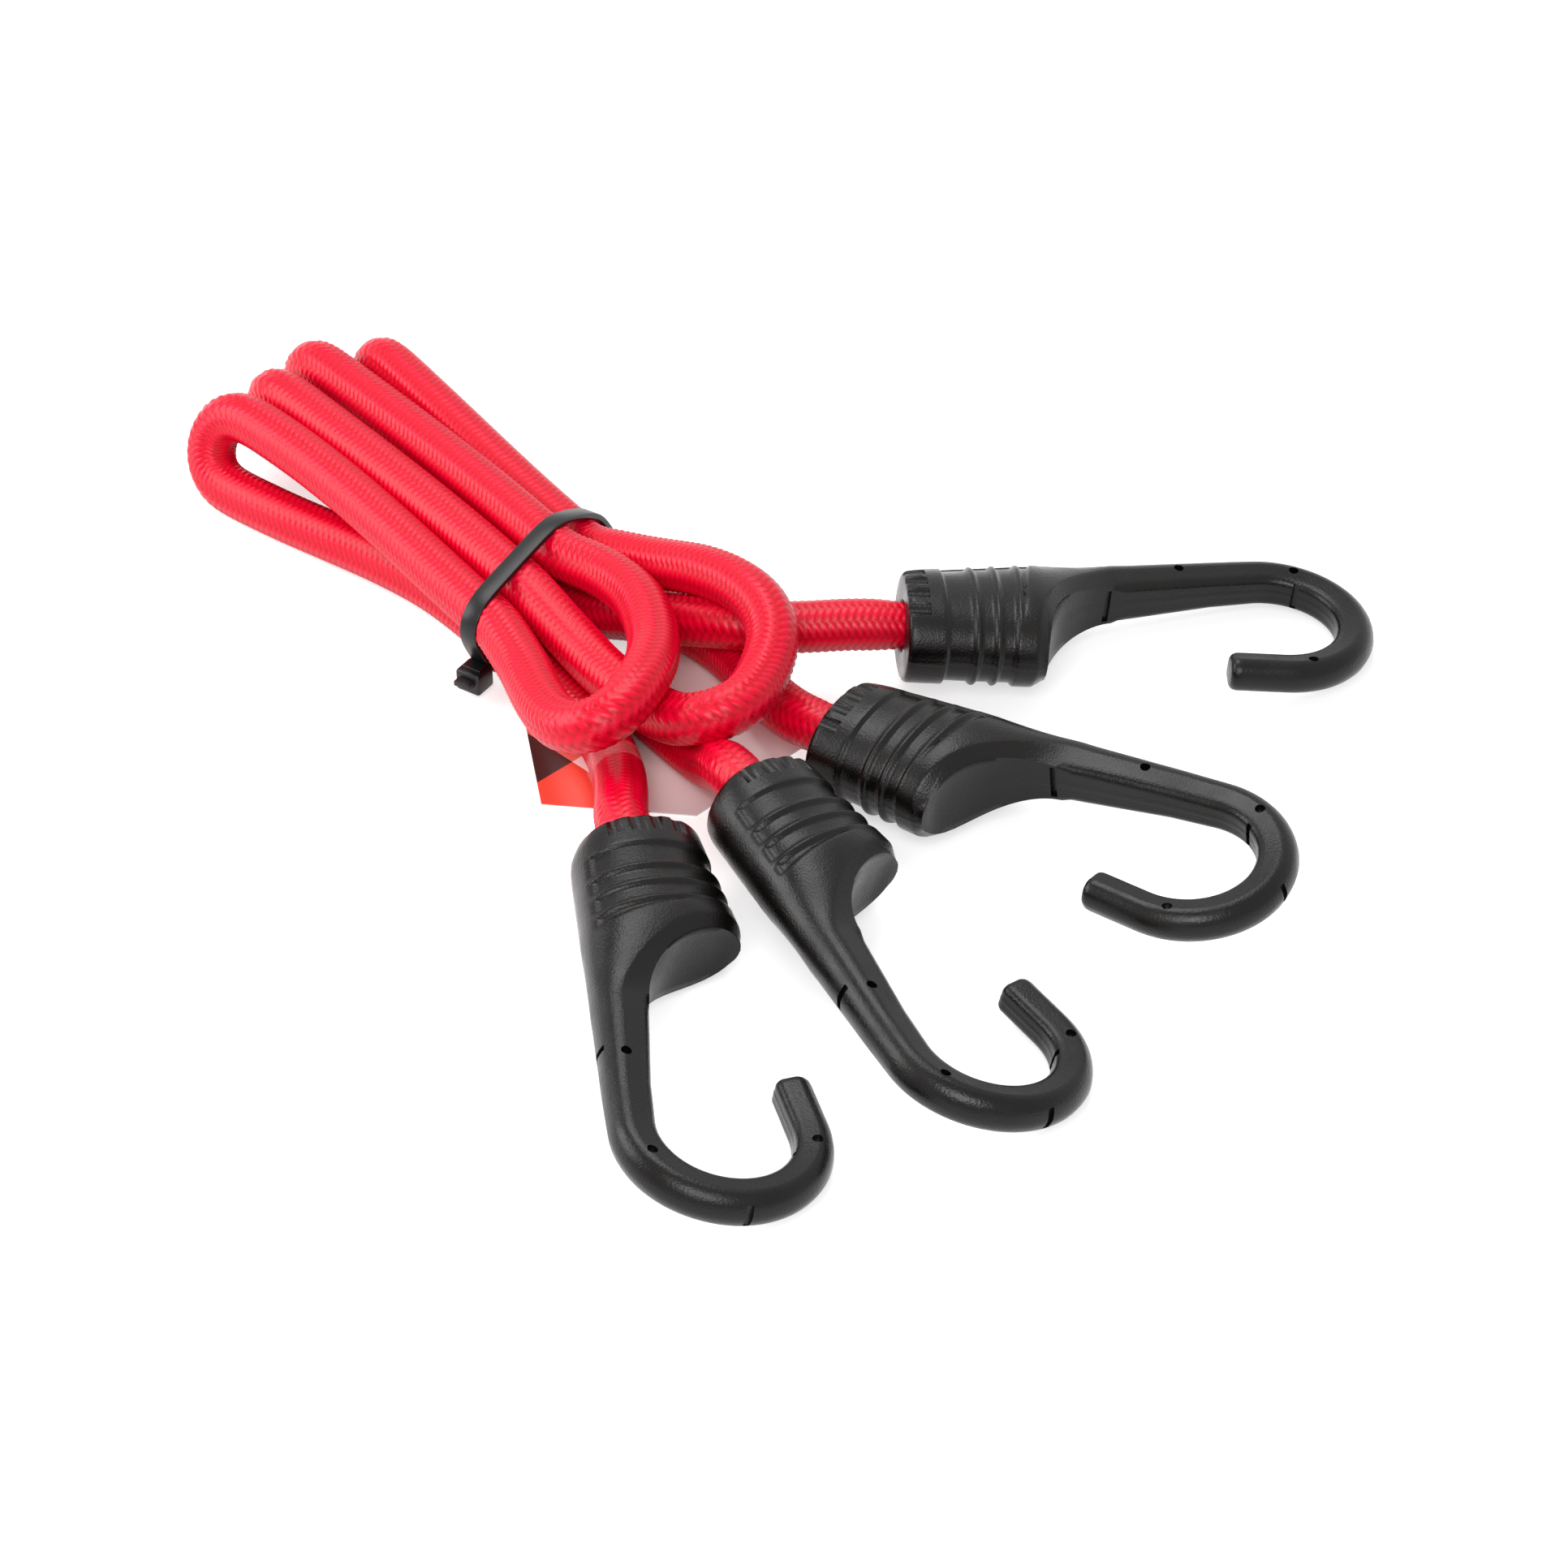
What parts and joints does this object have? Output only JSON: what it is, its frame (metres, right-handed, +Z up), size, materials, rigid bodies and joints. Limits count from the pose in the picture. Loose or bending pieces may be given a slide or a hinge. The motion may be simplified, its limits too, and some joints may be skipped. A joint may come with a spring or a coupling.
{
  "type": "bungee cord",
  "caption": "Elastic tie-down cords with swivelling moulded hooks, folded into a hank held by a cable tie, with a blank hang label.",
  "frame": {"origin": "on the ground under the middle of the box of the hooks, cable tie and label", "axes": "+Z up, X to the right and Y away in the picture"},
  "size_m": [0.2317, 0.2491, 0.0288],
  "materials": {
    "hook_plastic": "fine grained black moulding",
    "steel_wire": "drawn wire",
    "ferrule_aluminium": "plain crimped",
    "sheath_yarn": "woven red polyester",
    "latex_rubber": "bundled strands",
    "tie_nylon": "black nylon",
    "label_laminate": "laminated card",
    "clear_film": "clear film"
  },
  "bodies": {
    "cords": {"cord_a_hank_sheath": "sheath_yarn", "cord_a_hank_rubber_core": "latex_rubber", "cord_a_end_1_sheath": "sheath_yarn", "cord_a_end_1_rubber_core": "latex_rubber", "cord_a_end_4_sheath": "sheath_yarn", "cord_a_end_4_rubber_core": "latex_rubber", "cord_b_hank_sheath": "sheath_yarn", "cord_b_hank_rubber_core": "latex_rubber", "cord_b_end_2_sheath": "sheath_yarn", "cord_b_end_2_rubber_core": "latex_rubber", "cord_b_end_3_sheath": "sheath_yarn", "cord_b_end_3_rubber_core": "latex_rubber", "hook_1_crimp_ferrule": "ferrule_aluminium", "hook_2_crimp_ferrule": "ferrule_aluminium", "hook_3_crimp_ferrule": "ferrule_aluminium", "hook_4_crimp_ferrule": "ferrule_aluminium", "cable_tie": "tie_nylon", "label_card": "label_laminate", "label_clear_sleeve": "clear_film"},
    "hook_1": {"hook_1_moulding": "hook_plastic", "hook_1_wire_core": "steel_wire"},
    "hook_2": {"hook_2_moulding": "hook_plastic", "hook_2_wire_core": "steel_wire"},
    "hook_3": {"hook_3_moulding": "hook_plastic", "hook_3_wire_core": "steel_wire"},
    "hook_4": {"hook_4_moulding": "hook_plastic", "hook_4_wire_core": "steel_wire"}
  },
  "joints": [
    {"name": "hook_1_swivel", "type": "hinge", "parent": "cords", "child": "hook_1", "pos_m": [-0.00297, 0.05854, 0.0132], "axis": [0.9919, 0.0798, -0.0993], "continuous": true},
    {"name": "hook_2_swivel", "type": "hinge", "parent": "cords", "child": "hook_2", "pos_m": [-0.01457, 0.02864, 0.0103], "axis": [0.8139, -0.5805, 0.0244], "continuous": true},
    {"name": "hook_3_swivel", "type": "hinge", "parent": "cords", "child": "hook_3", "pos_m": [-0.02987, 0.00534, 0.0141], "axis": [0.5752, -0.8124, -0.0958], "continuous": true},
    {"name": "hook_4_swivel", "type": "hinge", "parent": "cords", "child": "hook_4", "pos_m": [-0.05147, -0.00656, 0.011], "axis": [0.2736, -0.9603, -0.0541], "continuous": true}
  ]
}
